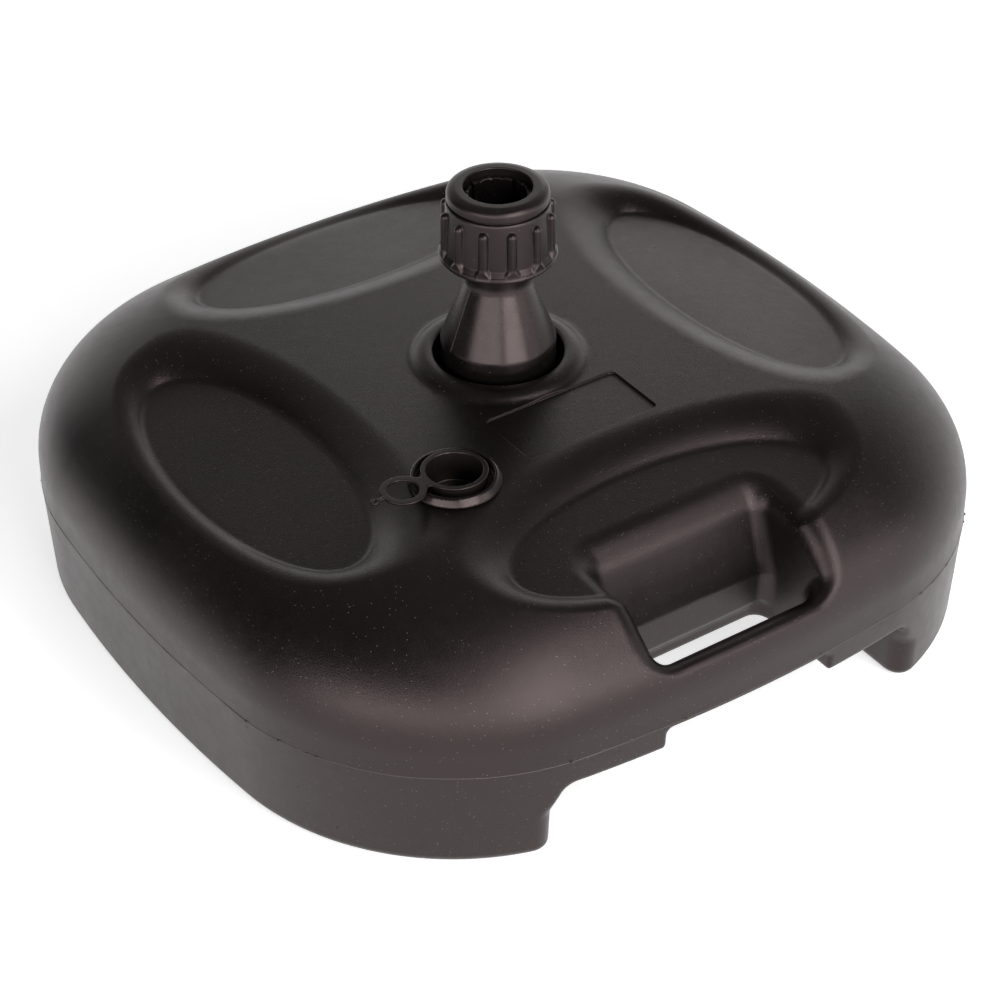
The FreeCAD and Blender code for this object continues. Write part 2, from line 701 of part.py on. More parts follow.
def pole_socket():
    body = new_body("pole_socket")
    turned(body, "socket_turned", [
        ("0", "socket_bottom"),
        ("socket_thread_radius", "socket_bottom"),
        ("socket_thread_radius", "well_foot_height"),
        ("socket_tube_radius", "well_foot_height + socket_thread_bevel"),
        ("socket_tube_radius", "well_shelf_height - socket_spigot"),
        ("well_low_radius - fit_gap", "well_shelf_height - socket_spigot"),
        ("well_low_radius - fit_gap", "well_shelf_height"),
        ("socket_flange_radius", "well_shelf_height"),
        ("socket_flange_radius", "well_shelf_height + socket_flange_thickness"),
        ("skirt_radius", "well_shelf_height + socket_flange_thickness"),
        ("skirt_radius", "skirt_height"),
        ("neck_radius", "neck_height"),
        ("neck_radius", "head_bottom - head_bevel"),
        ("head_radius", "head_bottom"),
        ("head_radius", "head_top - head_chamfer"),
        ("head_radius - head_chamfer", "head_top"),
        ("seat_top_radius", "head_top"),
        ("seat_bottom_radius", "seat_bottom"),
        ("bore_radius", "seat_bottom"),
        ("bore_radius", "bore_floor"),
        ("0", "bore_floor"),
    ])
    # the space between the pole tube and the outer cone is left hollow
    turned(body, "socket_core", [
        ("socket_tube_radius", "well_shelf_height + socket_flange_thickness"),
        ("skirt_radius - skirt_wall", "well_shelf_height + socket_flange_thickness"),
        ("skirt_radius - skirt_wall", "skirt_height"),
        ("socket_tube_radius + core_tip", "neck_height - core_top_drop"),
        ("socket_tube_radius", "neck_height - core_top_drop"),
    ], kind="Groove")
    rib = sketch_on(body, "XY_Plane", "socket_rib_plan", "rib_bottom")
    polygon(rib, [
        ("(bore_radius + socket_tube_radius) / 2", "0 - rib_thickness / 2"),
        ("rib_radius", "0 - rib_thickness / 2"),
        ("rib_radius", "rib_thickness / 2"),
        ("(bore_radius + socket_tube_radius) / 2", "rib_thickness / 2"),
    ])
    fin = feature(body, "Pad", "socket_rib", rib, Length="rib_top - rib_bottom")
    polar(body, "socket_ribs", fin, "rib_count")
    return body


def socket_lock_ring():
    body = new_body("socket_lock_ring")
    turned(body, "lock_ring_turned", [
        ("socket_thread_radius", "lock_ring_bottom"),
        ("lock_ring_radius - lock_ring_chamfer", "lock_ring_bottom"),
        ("lock_ring_radius", "lock_ring_bottom + lock_ring_chamfer"),
        ("lock_ring_radius", "well_foot_height - lock_ring_flange_thickness"),
        ("lock_ring_radius + lock_ring_flange", "well_foot_height - lock_ring_flange_thickness"),
        ("lock_ring_radius + lock_ring_flange", "well_foot_height"),
        ("socket_thread_radius", "well_foot_height"),
    ])
    notch = sketch_on(body, "XY_Plane", "lock_ring_notch_plan", "lock_ring_bottom")
    polygon(notch, [
        ("lock_ring_radius - lock_ring_notch_depth", "0 - lock_ring_notch / 2"),
        ("lock_ring_radius + lock_ring_flange", "0 - lock_ring_notch / 2"),
        ("lock_ring_radius + lock_ring_flange", "lock_ring_notch / 2"),
        ("lock_ring_radius - lock_ring_notch_depth", "lock_ring_notch / 2"),
    ])
    cut = feature(body, "Pocket", "lock_ring_notch_cut", notch, Reversed=True,
                  Length="well_foot_height - lock_ring_flange_thickness - lock_ring_bottom")
    polar(body, "lock_ring_notches_cut", cut, "lock_ring_notches")
    return body


# ---------------------------------------------------------------- the pole clamp

def clamping_collet():
    body = new_body("clamping_collet")
    turned(body, "collet_turned", [
        ("collet_radius", "seat_bottom + collet_tip_lift"),
        ("collet_tip_radius", "seat_bottom + collet_tip_lift"),
        ("seat_top_radius - fit_gap", "head_top"),
        ("seat_top_radius - fit_gap", "collet_flange_bottom"),
        ("collet_flange_radius", "collet_flange_bottom"),
        ("collet_flange_radius", "collet_flange_top"),
        ("collet_sleeve_radius", "collet_flange_top"),
        ("collet_sleeve_radius", "collet_top"),
        ("collet_radius + collet_mouth_bevel", "collet_top"),
        ("collet_radius", "collet_top - collet_mouth_bevel"),
    ])
    slot = sketch_on(body, "XY_Plane", "collet_slot_plan", "collet_slot_bottom")
    polygon(slot, [
        ("collet_radius / 2", "0 - collet_slot / 2"),
        ("head_radius", "0 - collet_slot / 2"),
        ("head_radius", "collet_slot / 2"),
        ("collet_radius / 2", "collet_slot / 2"),
    ])
    cut = feature(body, "Pocket", "collet_slot_cut", slot, Reversed=True,
                  Length="nut_top - collet_slot_bottom")
    polar(body, "collet_slots_cut", cut, "collet_slots")
    body.setExpression("Placement.Rotation.Angle", cells("collet_turn_deg * 1deg"))
    return body


def clamp_nut():
    body = new_body("clamp_nut")
    ring_top = "nut_top - nut_ring_drop"
    ring_bottom = "nut_top - nut_ring_drop - nut_ring_side"
    inner = "head_radius + fit_gap"
    turned_nut = turned(body, "nut_turned", [
        (inner, "nut_bottom"),
        ("nut_flange_radius - nut_flange_chamfer", "nut_bottom"),
        ("nut_flange_radius", "nut_bottom + nut_flange_chamfer"),
        ("nut_flange_radius", "nut_bottom + nut_flange_height"),
        ("nut_body_bottom_radius", "nut_bottom + nut_flange_height + nut_bevel_height"),
        ("nut_body_top_radius", f"{ring_bottom} - nut_groove"),
        ("nut_ring_radius - nut_groove_depth", f"{ring_bottom} - nut_groove"),
        ("nut_ring_radius - nut_groove_depth", ring_bottom),
        ("nut_ring_radius", ring_bottom),
        ("nut_ring_radius", ring_top),
        ("nut_ring_radius - nut_ring_chamfer", "nut_top"),
        ("nut_hole_radius", "nut_top"),
        ("nut_hole_radius", "collet_flange_top + fit_gap"),
        (inner, "collet_flange_top + fit_gap"),
    ])
    grip = sketch_on(body, "XY_Plane", "nut_grip_plan", "nut_bottom + nut_flange_height / 2")
    circle(grip, "nut_grip_circle", "0", "nut_grip_radius")
    rib = feature(body, "Pad", "nut_grip", grip,
                  Length="nut_grip_top - nut_bottom - nut_flange_height / 2")
    polar(body, "nut_grips", rib, "nut_grip_count")
    # each half-round rib would reach into the bore, so the bore is cleared again
    turned(body, "nut_bore", [
        ("0", "nut_bottom - beyond"),
        (inner, "nut_bottom - beyond"),
        (inner, "collet_flange_top + fit_gap"),
        ("0", "collet_flange_top + fit_gap"),
    ], kind="Groove")
    body.setExpression("Placement.Rotation.Angle", cells("nut_grip_first_deg * 1deg"))
    return body


# ---------------------------------------------------------------- build, check, write

pieces = [
    base_tank(),
    filler_collar(),
    collar_gasket(),
    filler_plug(),
    pole_socket(),
    socket_lock_ring(),
    clamping_collet(),
    clamp_nut(),
]
doc.recompute()

failed = [o.Name for o in doc.Objects if {"Invalid", "Error"} & set(o.State)]
for piece in pieces:
    if piece.Shape.isNull() or not piece.Shape.isValid():
        failed.append(piece.Label)
if failed:
    raise RuntimeError("these objects failed: " + ", ".join(failed))

for piece in pieces:
    box = piece.Shape.BoundBox
    print(piece.Label, "solids", len(piece.Shape.Solids), "cm3", round(piece.Shape.Volume / 1000, 1),
          "low", [round(c, 1) for c in (box.XMin, box.YMin, box.ZMin)],
          "high", [round(c, 1) for c in (box.XMax, box.YMax, box.ZMax)])
    piece.Shape.exportStep(os.path.join("parts", piece.Label + ".step"))
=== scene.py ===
import json
import math
import bmesh
import bpy
import numpy as np
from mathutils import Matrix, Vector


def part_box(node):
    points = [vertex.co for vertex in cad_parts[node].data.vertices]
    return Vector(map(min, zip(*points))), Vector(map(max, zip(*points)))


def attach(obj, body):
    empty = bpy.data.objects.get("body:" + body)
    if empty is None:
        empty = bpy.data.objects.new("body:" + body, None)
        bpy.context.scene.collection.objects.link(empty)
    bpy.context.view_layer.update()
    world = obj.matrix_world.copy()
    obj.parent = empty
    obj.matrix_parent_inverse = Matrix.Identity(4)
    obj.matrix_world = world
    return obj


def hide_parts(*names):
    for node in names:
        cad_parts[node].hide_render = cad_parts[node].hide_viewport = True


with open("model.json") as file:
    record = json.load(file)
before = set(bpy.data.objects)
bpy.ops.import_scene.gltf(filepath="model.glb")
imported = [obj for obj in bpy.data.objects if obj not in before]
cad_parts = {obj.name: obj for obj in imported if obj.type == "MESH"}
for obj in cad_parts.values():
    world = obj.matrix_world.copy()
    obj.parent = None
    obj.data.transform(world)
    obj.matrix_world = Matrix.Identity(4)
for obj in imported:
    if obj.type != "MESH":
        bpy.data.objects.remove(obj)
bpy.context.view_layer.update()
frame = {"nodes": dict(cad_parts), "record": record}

import openvdb
from mathutils import Vector

# Shapes are worked out in millimetres, in the frame's axes, and made in metres.
MM = 0.001


def size_of(node):
    """The lowest and highest corners of a CAD node, in millimetres."""
    low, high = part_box(node)
    return np.array(low) / MM, np.array(high) / MM


# ------------------------------------------------------------------ fields
# A field gives, for each point, about how far it is outside a solid, and less than 0 inside.

def both(a, b, radius=0.0):
    """What is inside both solids, with the edges between them rounded to the radius."""
    if np.isscalar(radius) and radius == 0.0:
        return np.maximum(a, b)
    out_a = np.maximum(a + radius, 0.0)
    out_b = np.maximum(b + radius, 0.0)
    return np.minimum(np.maximum(a, b), -radius) + np.hypot(out_a, out_b)


def either(a, b, radius=0.0):
    """What is inside either solid, with the corner between them filled to the radius."""
    return -both(-a, -b, radius)


def without(a, b, radius=0.0):
    """The first solid with the second cut out of it, and the cut's brim rounded."""
    return both(a, -b, radius)


def soft_either(a, b, width):
    """Either solid, joined by a soft fillet."""
    share = np.clip(0.5 + 0.5 * (b - a) / width, 0.0, 1.0)
    return b + (a - b) * share - width * share * (1.0 - share)


def oval(x, y, half_x, half_y):
    """About the distance outside an ellipse."""
    far = np.hypot(x / half_x, y / half_y)
    steep = np.hypot(x / half_x**2, y / half_y**2) + 1e-9
    return far * (far - 1.0) / steep


def ring(r, z, inner, outer, low, high, radius):
    """A turned ring of rectangular section, its four edges rounded."""
    across = np.abs(r - (inner + outer) / 2) - (outer - inner) / 2 + radius
    along = np.abs(z - (low + high) / 2) - (high - low) / 2 + radius
    beyond = np.hypot(np.maximum(across, 0.0), np.maximum(along, 0.0))
    return beyond + np.minimum(np.maximum(across, along), 0.0) - radius


def cone(r, z, r_low, low, r_high, high):
    """The distance outside the cone through two circles of a turned piece."""
    run, rise = r_high - r_low, high - low
    return ((r - r_low) * rise - (z - low) * run) / math.hypot(run, rise)


def ramp(x, start, end):
    """0 before start, 1 after end and smooth between."""
    share = np.clip((x - start) / (end - start), 0.0, 1.0)
    return share * share * (3.0 - 2.0 * share)


def fold(x, y, count, first=0.0):
    """The angle from the nearest of a number of evenly spaced directions."""
    turn = 2.0 * math.pi / count
    angle = np.arctan2(y, x) - first
    return angle - turn * np.round(angle / turn)


def noise(x, y, z, scale, seed):
    """A smooth unevenness from -1 to 1, made of crossed waves."""
    rng = np.random.default_rng(seed)
    total = 0.0
    for _ in range(5):
        way = rng.normal(size=3)
        way = way / np.linalg.norm(way) / scale * rng.uniform(3.0, 7.0)
        total = total + np.sin(x * way[0] + y * way[1] + z * way[2] + rng.uniform(0, 6.3))
    return total / 3.0


# ------------------------------------------------------------------ meshes from fields

def close_folds(mesh, slope_at, step):
    """
    Closes up the tiny faces that moving the points has turned inside out. Closing one can
    turn a neighbour, so this is repeated until none is left, up to five times.
    """
    tiny_area = 0.3 * (step * MM)**2
    least_agreement = 0.3
    for _ in range(5):
        count = len(mesh.polygons)
        areas, middles, facing = np.empty(count), np.empty(count * 3), np.empty(count * 3)
        mesh.polygons.foreach_get("area", areas)
        mesh.polygons.foreach_get("center", middles)
        mesh.polygons.foreach_get("normal", facing)
        tiny = np.flatnonzero(areas < tiny_area)
        if len(tiny) == 0:
            break
        slopes = slope_at(middles.reshape(-1, 3)[tiny] / MM, 0.3 * step)
        agreement = (facing.reshape(-1, 3)[tiny] * slopes).sum(axis=1)
        folded = tiny[agreement < least_agreement]
        if len(folded) == 0:
            break
        work = bmesh.new()
        work.from_mesh(mesh)
        work.faces.ensure_lookup_table()
        shortest = [min(work.faces[i].edges, key=lambda edge: edge.calc_length()) for i in folded]
        bmesh.ops.collapse(work, edges=list(dict.fromkeys(shortest)), uvs=False)
        work.to_mesh(mesh)
        work.free()


def field_mesh(name, field, low, high, step, merge):
    """
    The mesh of a field's surface. The field is sampled on a grid, and the points of the
    first mesh are then moved onto the true surface, whose slopes give the normals.
    """
    low, high = np.array(low, float), np.array(high, float)
    counts = np.ceil((high - low) / step).astype(int) + 1
    xs, ys, zs = (low[i] + step * np.arange(counts[i]) for i in range(3))
    values = np.empty(counts, np.float32)
    far = 3.0           # steps from the surface beyond which a value is cut off
    slab = 24           # layers sampled at a time, to save memory
    for start in range(0, counts[2], slab):
        part = zs[start:start + slab]
        x, y, z = np.meshgrid(xs, ys, part, indexing="ij", copy=False)
        found = field(x.astype(np.float32), y.astype(np.float32), z.astype(np.float32))
        values[:, :, start:start + slab] = np.clip(found / step, -far, far)
    grid = openvdb.FloatGrid()
    grid.background = far
    grid.copyFromArray(values)
    points, triangles, quads = grid.convertToPolygons(isovalue=0.0, adaptivity=merge)
    points = points.astype(np.float64) * step + low

    def value_at(p):
        return field(p[:, 0], p[:, 1], p[:, 2])

    def slope_at(p, reach):
        slope = np.empty_like(p)
        for axis in range(3):
            move = np.zeros(3)
            move[axis] = reach
            slope[:, axis] = value_at(p + move) - value_at(p - move)
        return slope / (2.0 * reach)

    start = points.copy()
    furthest = 0.4 * step   # that a point may be moved along an axis
    for _ in range(2):
        slope = slope_at(points, step * 0.2)
        square = np.maximum((slope**2).sum(axis=1), 0.2)
        points = points - value_at(points)[:, None] * slope / square[:, None]
        points = start + np.clip(points - start, -furthest, furthest)

    mesh = bpy.data.meshes.new(name)
    faces = triangles.tolist() + quads.tolist()
    mesh.from_pydata((points * MM).tolist(), [], faces)
    mesh.validate()
    close_folds(mesh, slope_at, step)
    places = np.empty(len(mesh.vertices) * 3)
    mesh.vertices.foreach_get("co", places)
    slope = slope_at(places.reshape(-1, 3) / MM, step * 0.3)
    normals = slope / np.maximum(np.linalg.norm(slope, axis=1)[:, None], 1e-9)
    mesh.polygons.foreach_set("use_smooth", [True] * len(mesh.polygons))
    mesh.update()
    facing = np.empty(len(mesh.vertices) * 3)
    mesh.vertex_normals.foreach_get("vector", facing)
    facing = facing.reshape(-1, 3)
    # At a sharp edge the field's slope is unsure, and the faces' own normal is better.
    astray = (normals * facing).sum(axis=1) < 0.6
    normals[astray] = facing[astray]
    mesh.normals_split_custom_set_from_vertices(normals.tolist())
    piece = bpy.data.objects.new(name, mesh)
    bpy.context.collection.objects.link(piece)
    print(name, len(mesh.vertices), "points", len(mesh.polygons), "faces")
    return piece


# ------------------------------------------------------------------ the tank

tank_low, tank_high = size_of("base_tank")
HALF_WIDTH = (tank_high[0] - tank_low[0]) / 2
HALF_DEPTH = (tank_high[1] - tank_low[1]) / 2
CORNER = dict(x=88.4, y=84.5, radius=156.9)
SEAM = 65.0
SHOULDER = dict(foot=80.0, run=100.0, top=150.0)
DRAFT = math.radians(3.3)
WALL = 3.0
DISH = dict(centre=168.0, half_long=105.0, half_short=42.0, floor=134.0, tilt=math.radians(6.0))
POCKET = dict(half=59.0, back_low=-185.0, back_low_z=82.0, lean=0.29, bar=-228.0, bar_z=92.0)
ARCH = dict(half=122.0, top=47.0, back=-105.0)
GRIP = dict(half=57.0, top=61.5, back=-180.0)
WELL = dict(radius=38.5, shelf=118.0, low_radius=30.0, foot_radius=44.0, foot=26.0)
LIP = dict(radius=47.0, top=155.0, run=4.5)
LABEL = dict(half=45.0, y=-73.5, half_y=22.0, depth=1.4, corner=3.0, border=3.5)
FILLER = dict(x=-91.6, y=-89.8, hole=22.0)
TANK_STEP = 1.4


def plan_distance(x, y):
    """How far a point is outside the tank's plan outline of eight tangent arcs."""
    ax, ay = np.abs(x), np.abs(y)
    cx, cy, radius = CORNER["x"], CORNER["y"], CORNER["radius"]
    side_x = ((HALF_WIDTH - cx) ** 2 + cy**2 - radius**2) / (2 * (HALF_WIDTH - cx - radius))
    side_y = ((HALF_DEPTH - cy) ** 2 + cx**2 - radius**2) / (2 * (HALF_DEPTH - cy - radius))
    mid_x, mid_y = HALF_WIDTH - side_x, HALF_DEPTH - side_y
    corner = np.hypot(ax - cx, ay - cy) - radius
    from_x = np.hypot(ax - mid_x, ay) - side_x
    from_y = np.hypot(ax, ay - mid_y) - side_y
    low = (cx - mid_x) * ay - cy * (ax - mid_x) < 0
    high = cx * (ay - mid_y) - (cy - mid_y) * ax > 0
    found = np.where(low, from_x, np.where(high, from_y, corner))
    return np.where(low & high, np.maximum(from_x, from_y), found)


def tank_blank(x, y, z):
    """The tank before anything is cut: skirt, wall, elliptical shoulder and flat top."""
    outside = plan_distance(x, y)
    taper = np.maximum(SEAM - z, 0.0) * math.tan(DRAFT)
    side = outside + taper
    rise = SHOULDER["top"] - SHOULDER["foot"]
    run = SHOULDER["run"]
    u = np.maximum(run + outside, 0.0) / run
    v = np.maximum(z - SHOULDER["foot"], 0.0) / rise
    far = np.hypot(u, v) + 1e-6
    steep = np.hypot(u / run, v / rise) / far
    over = (far - 1.0) / np.maximum(steep, 1e-6)
    return np.where(z < SHOULDER["foot"], side, over)


def dish_cut(out, along, z):
    """One dish: a tilted flat floor inside an ellipse, with a sloping bank round it."""
    floor = DISH["floor"] - (out - DISH["centre"]) * math.tan(DISH["tilt"])
    height = z - floor
    bank = oval(out - DISH["centre"], along, DISH["half_short"], DISH["half_long"])
    bank = (bank - height * 0.95) * 0.72
    return both(bank, -height, 1.6)


def cut_dish(body, out, along, z):
    """The body less one dish, whose brim is soft towards the pole and crisp on the outer side."""
    brim = 14.0 - 6.0 * ramp(out, 150.0, 200.0)
    return both(body, -dish_cut(out, along, z), brim)


def tank_solid(x, y, z):
    """The tank's outside: the dishes, hand pocket, grip, arch, lip and well, with no hollow."""
    body = tank_blank(x, y, z)
    body = cut_dish(body, np.abs(x), np.abs(y), z)
    body = cut_dish(body, np.abs(y), np.abs(x), z)

    back = POCKET["back_low"] + np.maximum(z - POCKET["back_low_z"], 0.0) * POCKET["lean"]
    bar_top = POCKET["bar_z"] + (POCKET["bar"] - y) * 0.68
    sides = np.abs(x) - POCKET["half"]
    front = either(POCKET["bar"] - y, bar_top - z, 3.0)
    hollow = both(both(sides, y - back, 9.0), front, 14.0)
    body = without(body, hollow, 9.0 + 5.0 * ramp(z, 98.0, 118.0))

    grip = both(np.abs(x) - GRIP["half"], z - GRIP["top"], 4.0)
    body = without(body, both(grip, y - GRIP["back"], 8.0), 2.5)
    arch = both(np.abs(x) - ARCH["half"], z - ARCH["top"], 10.0)
    arch = both(arch, y - ARCH["back"], 12.0)
    body = without(body, arch, 4.0 + 10.0 * (1.0 - ramp(z, 26.0, 42.0)))

    radius = np.hypot(x, y)
    slope = math.atan2(LIP["top"] - SHOULDER["top"], LIP["run"])
    flank = (radius - LIP["radius"]) * math.sin(slope) + (z - SHOULDER["top"]) * math.cos(slope)
    lip = both(z - LIP["top"], flank - LIP["run"] * math.sin(slope), 3.5)
    body = soft_either(body, both(lip, SHOULDER["top"] - 8.0 - z), 2.2)
    well = both(radius - WELL["radius"], WELL["shelf"] - z)
    well = np.minimum(well, radius - WELL["low_radius"])
    well = np.minimum(well, both(radius - WELL["foot_radius"], z - WELL["foot"]))
    body = without(body, well, 1.6)
    return both(body, -z, 6.0)


def tank_field(x, y, z):
    """
    The hollow tank, with the label's seat and the filler's hole. Where the grid is coarse its wall
    is thicker, never under 1.8 grid steps, because a coarse grid would tear a thin one.
    """
    body = tank_solid(x, y, z)
    inside = body + max(WALL, 1.8 * TANK_STEP)
    ax, ay = np.abs(x), np.abs(y - LABEL["y"])
    overlap = 2.5       # how far the label's panel reaches past its seat
    border = LABEL["border"] - overlap
    seat = both(ax - LABEL["half"] - border, ay - LABEL["half_y"] - border)
    body = without(body, both(seat, -body - 2.0 * LABEL["depth"]))
    mouth = np.hypot(x - FILLER["x"], y - FILLER["y"]) - FILLER["hole"]
    body = without(body, both(mouth, SHOULDER["top"] - 12.0 - z), 0.6)
    return np.maximum(body, -inside)


def make_tank():
    margin = 3.0 * TANK_STEP
    piece = field_mesh(
        "tank_shell", tank_field, tank_low - margin, tank_high + margin, TANK_STEP, merge=0.01
    )
    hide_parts("base_tank")
    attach(piece, "root")
    return piece


def label_field(x, y, z):
    """The label's recess in a thin panel, which follows the tank's own surface."""
    ax, ay = np.abs(x), np.abs(y - LABEL["y"])
    border = LABEL["border"]
    surface = tank_solid(x, y, z)
    panel = both(ax - LABEL["half"] - border, ay - LABEL["half_y"] - border)
    panel = both(panel, np.abs(surface + 1.0) - 1.02)
    recess = both(ax - LABEL["half"], ay - LABEL["half_y"], LABEL["corner"])
    recess = both(recess, -surface - LABEL["depth"], 0.3)
    return without(panel, recess, 0.3)


def make_label():
    """The label's panel, meshed finely as a piece of its own."""
    reach = np.array([LABEL["half"], LABEL["half_y"], 0.0]) + LABEL["border"] + 2.0
    middle = np.array([0.0, LABEL["y"], SHOULDER["top"]])
    low, high = middle - reach, middle + reach
    low[2], high[2] = SHOULDER["top"] - 5.0, SHOULDER["top"] + 3.0
    piece = field_mesh("label_recess", label_field, low, high, 0.5, merge=0.02)
    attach(piece, "root")
    return piece


def outline_points(outside, count):
    """Points round the tank's plan outline, moved out by a distance and found by halving."""
    angle = np.linspace(0.0, 2.0 * math.pi, count, endpoint=False)
    near, far = np.full(count, 150.0), np.full(count, 320.0)
    for _ in range(40):
        middle = (near + far) / 2
        inside = plan_distance(middle * np.cos(angle), middle * np.sin(angle)) < outside
        near, far = np.where(inside, middle, near), np.where(inside, far, middle)
    return np.stack([near * np.cos(angle), near * np.sin(angle)], axis=1)


def make_seam():
    """The parting line: an uneven fin of flash all round, where the two mould halves met."""
    count = 1400
    root, line = outline_points(-0.8, count), outline_points(0.0, count)
    outward = line - root
    outward /= np.linalg.norm(outward, axis=1)[:, None]
    rng = np.random.default_rng(7)
    rough = np.convolve(rng.normal(size=count + 8), np.ones(9) / 3.0, "valid")
    torn = np.clip(rng.normal(size=count) - 1.3, 0.0, 1.2)
    proud = 0.12 + 0.06 * np.abs(rough) + 0.8 * torn * (np.abs(rough) > 0.9)
    lift = 0.12 * np.convolve(rng.normal(size=count + 20), np.ones(21) / 4.5, "valid")
    points, faces = [], []
    for place, out, up, away, wave in zip(root, proud, lift, outward, rough):
        tip = place + away * (0.8 + out)
        for (px, py), z in ((place, -1.2), (tip, -0.15), (tip, 0.15), (place, 1.2)):
            points.append((px * MM, py * MM, (SEAM + z + up) * MM))
    for i in range(count):
        after = (i + 1) % count
        for k in range(4):
            a, b = 4 * i + k, 4 * i + (k + 1) % 4
            c, d = 4 * after + (k + 1) % 4, 4 * after + k
            faces.append((a, d, c, b))
    mesh = bpy.data.meshes.new("seam_flash")
    mesh.from_pydata(points, [], faces)
    mesh.update()
    piece = bpy.data.objects.new("seam_flash", mesh)
    bpy.context.collection.objects.link(piece)
    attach(piece, "root")
    return piece


tank = make_tank()
label = make_label()
seam = make_seam()


# ------------------------------------------------------------------ filler and stopper

PLUG = dict(
    rim=19.0, mouth=16.0, cup=17.7, foot=138.0, floor=139.6, plate=158.0,
    pull=-33.8, pull_outer=13.0, pull_inner=9.0, nub=-52.3,
)


def collar_field(x, y, z):
    """The filler's collar: a rounded rim with a stepped mouth and a sleeve into the tank."""
    r = np.hypot(x - FILLER["x"], y - FILLER["y"])
    rim = both(ring(r, z, 10.0, 27.0, 150.6, 156.0, 1.0), cone(r, z, 27.0, 151.0, 24.6, 155.4), 0.8)
    sleeve = ring(r, z, 10.0, 21.7, 130.0, 153.0, 0.4)
    bead = both(np.abs(z - 145.5) - 1.0, r - 22.6, 0.8)
    body = np.minimum(np.minimum(rim, sleeve), both(bead, 15.0 - r))
    mouth = both(r - 22.4, 151.4 - z, 0.5)
    body = without(body, mouth, 0.7)
    return without(body, r - 18.0, 0.4)


def plug_field(x, y, z):
    """The stopper: a thin cup whose rim is drawn out into a neck, a pull ring and a nub."""
    x, y = x - FILLER["x"], y - FILLER["y"]
    r = np.hypot(x, y)
    from_ring = np.hypot(x - PLUG["pull"], y)
    neck = both(np.abs(y) - 3.6, np.abs(x + 21.0) - 6.0)
    link = both(np.abs(y) - 1.1, np.abs(x + 48.5) - 4.0)
    plan = soft_either(r - PLUG["rim"], neck, 4.0)
    plan = soft_either(plan, from_ring - PLUG["pull_outer"], 4.0)
    plan = soft_either(plan, link, 1.5)
    plan = soft_either(plan, np.hypot(x - PLUG["nub"], y) - 2.6, 1.0)
    plan = without(without(plan, r - PLUG["mouth"]), from_ring - PLUG["pull_inner"])
    plate = both(plan, np.abs(z - PLUG["plate"]) - 0.8, 0.45)
    dimple = np.sqrt((x - PLUG["nub"]) ** 2 + y**2 + (z - 159.4) ** 2) - 1.6
    plate = without(plate, dimple, 0.2)
    cup = ring(r, z, 0.0, PLUG["cup"], PLUG["foot"], PLUG["plate"], 1.2)
    cup = without(cup, both(r - PLUG["mouth"], PLUG["floor"] - z, 1.0), 0.2)
    return np.minimum(plate, cup)


# ------------------------------------------------------------------ the pole clamp

SOCKET = dict(
    skirt=34.0, cone_foot=164.4, neck=18.6, cone_top=204.0, bore=16.5, tube=20.0,
    thread_pitch=4.0, thread_depth=1.6,
)


def socket_field(x, y, z):
    """The turned socket: flange, hollow skirt, cone, neck, threaded head and threaded foot."""
    r = np.hypot(x, y)
    angle = np.arctan2(y, x) / (2.0 * math.pi)
    slope = cone(r, z, SOCKET["skirt"], SOCKET["cone_foot"], SOCKET["neck"], SOCKET["cone_top"])
    shell = both(both(r - SOCKET["skirt"], slope, 0.5), 121.0 - z)
    hollow = both(both(r - 31.4, slope + 2.6), 20.0 - r)
    shell = without(shell, both(hollow, z - 192.0))
    neck = both(r - SOCKET["neck"], z - 222.0)
    body = either(shell, both(neck, 150.0 - z), 1.0)
    thread = SOCKET["thread_depth"] * np.abs((z / SOCKET["thread_pitch"] - angle) % 1.0 - 0.5)
    head = both(r - 24.0 - thread, np.abs(z - 233.0) - 12.0, 0.5)
    head = both(head, cone(r, z, SOCKET["neck"], 216.0, 25.0, 221.0), 0.5)
    flange = ring(r, z, 10.0, 37.5, 118.0, 122.0, 0.5)
    spigot = ring(r, z, 10.0, 29.7, 112.0, 120.0, 0.4)
    tube = ring(r, z, 10.0, SOCKET["tube"], 20.0, 200.0, 0.2)
    foot = both(r - SOCKET["tube"] - thread, np.abs(z - 17.5) - 8.5, 0.5)
    side = fold(x, y, 6)
    fin = both(np.abs(r * np.sin(side)) - 1.5, r * np.cos(side) - 29.6, 0.4)
    fin = both(both(fin, 15.0 - r), np.abs(z - 70.0) - 30.0, 0.4)
    for part in (head, flange, spigot, tube, foot, fin):
        body = np.minimum(body, part)
    parting = 0.3 * np.exp(-((y / 0.35) ** 2)) * (z > 123.0) * (z < 216.0)
    body = body - parting
    bore = both(r - SOCKET["bore"], 14.0 - z, 0.4)
    seat = both(cone(r, z, 19.6, 229.0, 22.6, 245.0), 229.0 - z)
    return without(body, np.minimum(bore, seat), 0.3)


def collet_field(x, y, z):
    """The split collet: a slotted sleeve with a flange and a cone, its rim left rough."""
    r = np.hypot(x, y)
    level = np.zeros_like(z)    # the roughness is the same at every height
    rough = 0.45 * noise(x, y, level, 5.0, 3) + 0.25 * noise(x, y, level, 1.6, 4)
    sleeve = both(ring(r, z, 14.0, 19.2, 240.0, 262.0, 0.3), z - 259.9 - rough, 0.4)
    flange = ring(r, z, 14.0, 23.8, 246.0, 250.5, 0.5)
    wedge = both(cone(r, z, 19.5, 230.0, 22.3, 245.0), np.abs(z - 238.0) - 8.0, 0.3)
    body = np.minimum(np.minimum(sleeve, flange), wedge)
    body = without(body, r - 16.7 - 0.1 * rough, 0.3)
    side = fold(x, y, 4, math.radians(22.5))
    slot = both(np.abs(r * np.sin(side)) - 1.6, 233.0 - z, 0.6)
    return without(body, slot, 0.25)


